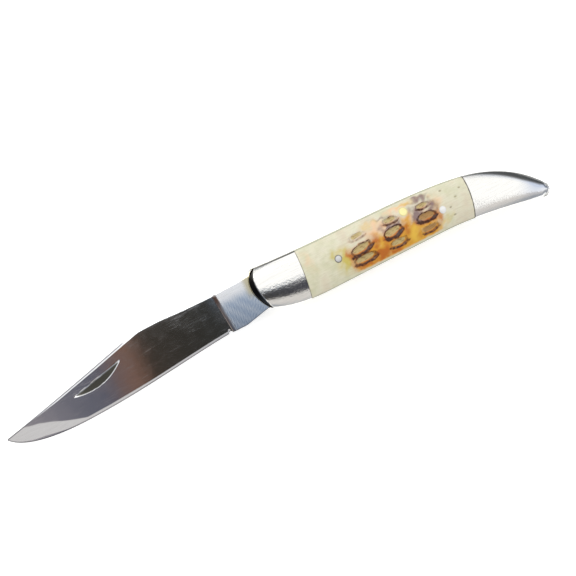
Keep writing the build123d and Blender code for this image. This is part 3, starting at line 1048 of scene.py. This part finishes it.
class KNIFE_OT_pins(bpy.types.Operator):
    """Make the pins: two hidden under the bolsters, one through the spring, four in the scales"""

    bl_idname = "knife.pins"
    bl_label = "Pins"

    def execute(self, context):
        sizes = context.scene.knife_sizes
        under_bolster, foot_in_liner = 1.6, 0.45
        plain = polished_metal("drawn_nickel_silver_wire", "#D8D5CE", (0.2, 0.3), (0, 0.15), 0.0008)
        for name, radius in (("pivot_pin", 1.2), ("spring_end_pin", 0.8)):
            profile = pin_profile(radius, under_bolster, TOP - under_bolster)
            points, faces = turned(profile, PIN_AT[name])
            make_piece(f"hidden_{name}", points, faces, "handle", "pin_brass", plain, [name])
        heads = (
            ("spring_centre_pin", 1.0, "#EDE3A6", 0.25),
            ("scale_pin_front_mark_side", 0.85, "#DADAD8", 0.95),
            ("scale_pin_front_pile_side", 0.85, "#DADAD8", 0.95),
            # Painted highlight: the rear pins, of the same wire as the front ones, are painted
            # lighter and get a fainter dark ring.
            ("scale_pin_rear_mark_side", 0.85, "#F0F0EE", 0.15),
            ("scale_pin_rear_pile_side", 0.85, "#F0F0EE", 0.15),
        )
        for name, radius, colour, ring in heads:
            middle = PIN_AT[name]
            head = head_height(middle[1], sizes) + PIN_STANDS
            through = name == "spring_centre_pin"
            foot = TOP - head if through else SEAT - foot_in_liner
            points, faces = turned(pin_profile(radius, foot, head), middle)
            points = follow_crown(points, middle, sizes, through)
            if name.endswith("pile_side"):
                points, faces = mirrored(points, faces)
            finish = pin_metal(f"{name}_metal", colour, middle, radius, ring)
            make_piece(f"headed_{name}", points, faces, "handle", "pin_brass", finish, [name])
        return {"FINISHED"}


# ---- liners and spring ----


class KNIFE_OT_liners(bpy.types.Operator):
    """Give the liners and the backspring their metals"""

    bl_idname = "knife.liners"
    bl_label = "Liners and spring"

    def execute(self, context):
        # Rolled sheet brass, sheared and filed: warm yellow, with fine lines along the edge,
        # about 0.03 mm apart and drawn 0.1 mm apart.
        brass = polished_metal("rolled_brass_sheet", "#AFA988", (0.34, 0.48), (0, 0.1), 0.0015)
        # Hardened spring steel, ground on a belt: grey-white with grinding lines across its
        # back, about 0.05 mm apart and drawn 0.12 mm apart.
        steel = polished_metal("ground_spring_steel", "#B9B9B8", (0.2, 0.34), (90, 0.12), 0.0015)
        finishes = {"liner_mark_side": brass, "liner_pile_side": brass, "backspring": steel}
        for name, finish in finishes.items():
            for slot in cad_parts[name].material_slots:
                slot.material = finish
        return {"FINISHED"}


# ---- stage ----


def build_world(world):
    """Soft white room light. What polished metal mirrors is set by direction, each region by a
    product of smoothsteps: white from the side of the knife's back, grey far down on that side,
    a dark ceiling patch just past the zenith on the other side, which changes along the knife
    from a pale end through blue-grey and brown to charcoal, with a small bluish window at its
    border, warm light grey below the patch, and mid grey near the horizon. Seen directly, the
    room is white."""
    world.use_nodes = True
    tree = world.node_tree
    tree.nodes.clear()
    way = node(tree, "ShaderNodeTexCoord").outputs["Generated"]
    x, y, z = node(tree, "ShaderNodeSeparateXYZ", {0: way}).outputs
    mottle = node(
        tree, "ShaderNodeTexNoise", {"Vector": way, "Scale": 9.0, "Detail": 4, "Roughness": 0.6}
    ).outputs[0]
    wobble = node(
        tree, "ShaderNodeMapRange", {"Value": mottle, "To Min": -0.035, "To Max": 0.035}
    ).outputs[0]
    y = node(tree, "ShaderNodeMath", {0: y, 1: wobble}, operation="ADD").outputs[0]
    # What changes along the knife: the patch's colour, its two borders, and how far the grey below
    # it reaches up at the butt.
    patch_place, low_border, white_border, rise_at_butt = (
        node(
            tree,
            "ShaderNodeMapRange",
            {"Value": x, "From Min": start, "From Max": end, "To Min": first, "To Max": last},
            interpolation_type=blend,
        ).outputs[0]
        for start, end, first, last, blend in (
            (-0.35, 0.35, 0.0, 1.0, "LINEAR"),
            (-0.12, 0.0, -0.27, -0.6, "SMOOTHSTEP"),
            (0.12, 0.17, -0.125, -0.21, "LINEAR"),
            (0.3, 0.42, 0.0, 0.36, "LINEAR"),
        )
    )
    patch = node(
        tree,
        "ShaderNodeValToRGB",
        {0: patch_place},
        stops=(
            (0.06, "#C9C3BA"),
            (0.15, "#8A858A"),
            (0.24, "#6C6B74"),
            (0.32, "#595A66"),
            (0.355, "#6E5A55"),
            (0.39, "#7A5C4E"),
            (0.43, "#37322C"),
            (0.6, "#2E2E2B"),
            (0.8, "#4C4D55"),
        ),
    ).outputs[0]
    over_border = node(
        tree, "ShaderNodeMath", {0: y, 1: low_border}, operation="SUBTRACT"
    ).outputs[0]
    raised = node(tree, "ShaderNodeMath", {0: y, 1: rise_at_butt}, operation="ADD").outputs[0]
    # Each region's colour and its smoothsteps: the value, where it has none and all, and its most.
    regions = (
        (linear("#CFCCCA"), ((raised, -0.2, -0.28, 1.0),)),
        (linear("#7C7B72"), ((y, 0.8, 0.93, 1.0),)),
        (
            patch,
            (
                (over_border, -0.02, 0.03, 1.0),
                (y, -0.06, white_border, 1.0),
                (x, 0.42, 0.3, 1.0),
            ),
        ),
        (
            linear("#93A3B6"),
            (
                (x, 0.075, 0.1, 1.0),
                (x, 0.17, 0.15, 1.0),
                (y, -0.155, -0.13, 1.0),
                (y, -0.062, -0.08, 1.0),
            ),
        ),
        (linear("#9A9EA4"), ((z, 0.6, 0.28, 0.95),)),
    )
    room = linear("#FFFFFF")
    for colour, steps in regions:
        share = 1.0
        for value, none, full, most in steps:
            step = node(
                tree,
                "ShaderNodeMapRange",
                {"Value": value, "From Min": none, "From Max": full, "To Max": most},
                interpolation_type="SMOOTHSTEP",
            ).outputs[0]
            share = node(
                tree, "ShaderNodeMath", {0: share, 1: step}, operation="MULTIPLY"
            ).outputs[0]
        room = node(
            tree, "ShaderNodeMix", {0: share, 6: room, 7: colour}, data_type="RGBA"
        ).outputs[2]
    seen_directly = node(tree, "ShaderNodeLightPath").outputs["Is Camera Ray"]
    room = node(
        tree, "ShaderNodeMix", {0: seen_directly, 6: room, 7: linear("#FFFFFF")}, data_type="RGBA"
    ).outputs[2]
    light = node(tree, "ShaderNodeBackground", {"Color": room, "Strength": 1.2})
    node(tree, "ShaderNodeOutputWorld", {0: light.outputs[0]})


def build_floor(colour):
    """A wide pale floor just under the knife: matt white board with a fine grain, partly lit from
    below as a light table is."""
    reach, gap = 3.0, 0.02 * MM
    square = ((-1, -1), (1, -1), (1, 1), (-1, 1))
    mesh = bpy.data.meshes.new("floor")
    corners = [(reach * x, reach * y, CAD_BOX[0].z - gap) for x, y in square]
    mesh.from_pydata(corners, [], [(0, 1, 2, 3)])
    floor = bpy.data.objects.new("floor", mesh)
    bpy.context.scene.collection.objects.link(floor)
    material, tree, shader, place = new_material("matt_white_board")
    grain = node(
        tree, "ShaderNodeTexNoise", {"Vector": place, "Scale": 1 / (0.8 * MM), "Detail": 2}
    ).outputs[0]
    relief = node(tree, "ShaderNodeBump", {"Height": grain, "Distance": 0.01 * MM}).outputs[0]
    tree.links.new(relief, shader.inputs["Normal"])
    shader.inputs["Base Color"].default_value = tuple(colour)
    shader.inputs["Roughness"].default_value = 0.9
    shader.inputs["Specular IOR Level"].default_value = 0.1
    shader.inputs["Emission Color"].default_value = tuple(colour)
    shader.inputs["Emission Strength"].default_value = 0.45
    mesh.materials.append(material)


def build_camera(scene):
    """Camera over the knife: the knife's own axes as the camera sees them are turned, tilted and
    rolled, and the pivot stands at a set distance in mm and at a set place in the view, given
    as shares of that distance."""
    turn, tilt, roll = np.radians([26.6, 11.25, 5.0])
    distance = 134.72
    right_of_centre, above_centre = -5 / 620, 4 / 620
    level_part = np.cos(tilt)
    along_knife = np.array([np.cos(turn) * level_part, np.sin(turn) * level_part, -np.sin(tilt)])
    level = np.array([-np.sin(turn), np.cos(turn), 0])
    upright = np.cross(along_knife, level)
    to_back = level * np.cos(roll) + upright * np.sin(roll)
    to_viewer = upright * np.cos(roll) - level * np.sin(roll)
    axes = np.array([along_knife, to_back, to_viewer])
    pivot = distance * np.array([right_of_centre, above_centre, -1])
    place = -axes @ pivot + (0, 0, MIDDLE)
    data = bpy.data.cameras.new("camera")
    data.lens = 38.75
    data.sensor_width = 36.0
    data.clip_start, data.clip_end = 1 * MM, 20.0
    camera = bpy.data.objects.new("camera", data)
    camera.matrix_world = Matrix.Translation(place * MM) @ Matrix(axes.tolist()).to_4x4()
    scene.collection.objects.link(camera)
    scene.camera = camera


class KNIFE_OT_stage(bpy.types.Operator):
    """Make the floor, the room light, a soft lamp and the camera"""

    bl_idname = "knife.stage"
    bl_label = "Stage"

    def execute(self, context):
        scene = context.scene
        scene.view_settings.view_transform = "Standard"
        scene.world = bpy.data.worlds.new("soft_room")
        build_world(scene.world)
        build_floor(scene.knife_colours.floor)
        lamp = bpy.data.lights.new("soft_lamp", "AREA")
        lamp.shape = "DISK"
        lamp.size = 0.25
        lamp.energy = 0.9
        light = bpy.data.objects.new("soft_lamp", lamp)
        light.location = (-0.05, 0.32, 0.42)
        light.rotation_mode = "QUATERNION"
        light.rotation_quaternion = (-light.location).to_track_quat("-Z", "Y")
        scene.collection.objects.link(light)
        build_camera(scene)
        return {"FINISHED"}


# ---- panel and registration ----

OPERATORS = (KNIFE_OT_blade, KNIFE_OT_covers, KNIFE_OT_pins, KNIFE_OT_liners, KNIFE_OT_stage)


class KNIFE_PT_panel(bpy.types.Panel):
    """Sizes, colours and the pieces of the pocketknife"""

    bl_idname = "KNIFE_PT_panel"
    bl_label = "Pocketknife"
    bl_space_type = "VIEW_3D"
    bl_region_type = "UI"
    bl_category = "Pocketknife"

    def draw(self, context):
        for group in (context.scene.knife_sizes, context.scene.knife_colours):
            for name in group.__annotations__:
                self.layout.prop(group, name)
        for operator in OPERATORS:
            self.layout.operator(operator.bl_idname)


CLASSES = (KnifeSizes, KnifeColours, *OPERATORS, KNIFE_PT_panel)


def register():
    for kind in CLASSES:
        bpy.utils.register_class(kind)
    bpy.types.Scene.knife_sizes = bpy.props.PointerProperty(type=KnifeSizes)
    bpy.types.Scene.knife_colours = bpy.props.PointerProperty(type=KnifeColours)


def unregister():
    del bpy.types.Scene.knife_colours
    del bpy.types.Scene.knife_sizes
    for kind in reversed(CLASSES):
        bpy.utils.unregister_class(kind)


def main():
    """Builds every piece in order."""
    register()
    bpy.ops.knife.blade()
    bpy.ops.knife.covers()
    bpy.ops.knife.pins()
    bpy.ops.knife.liners()
    bpy.ops.knife.stage()


if __name__ == "__main__":
    main()
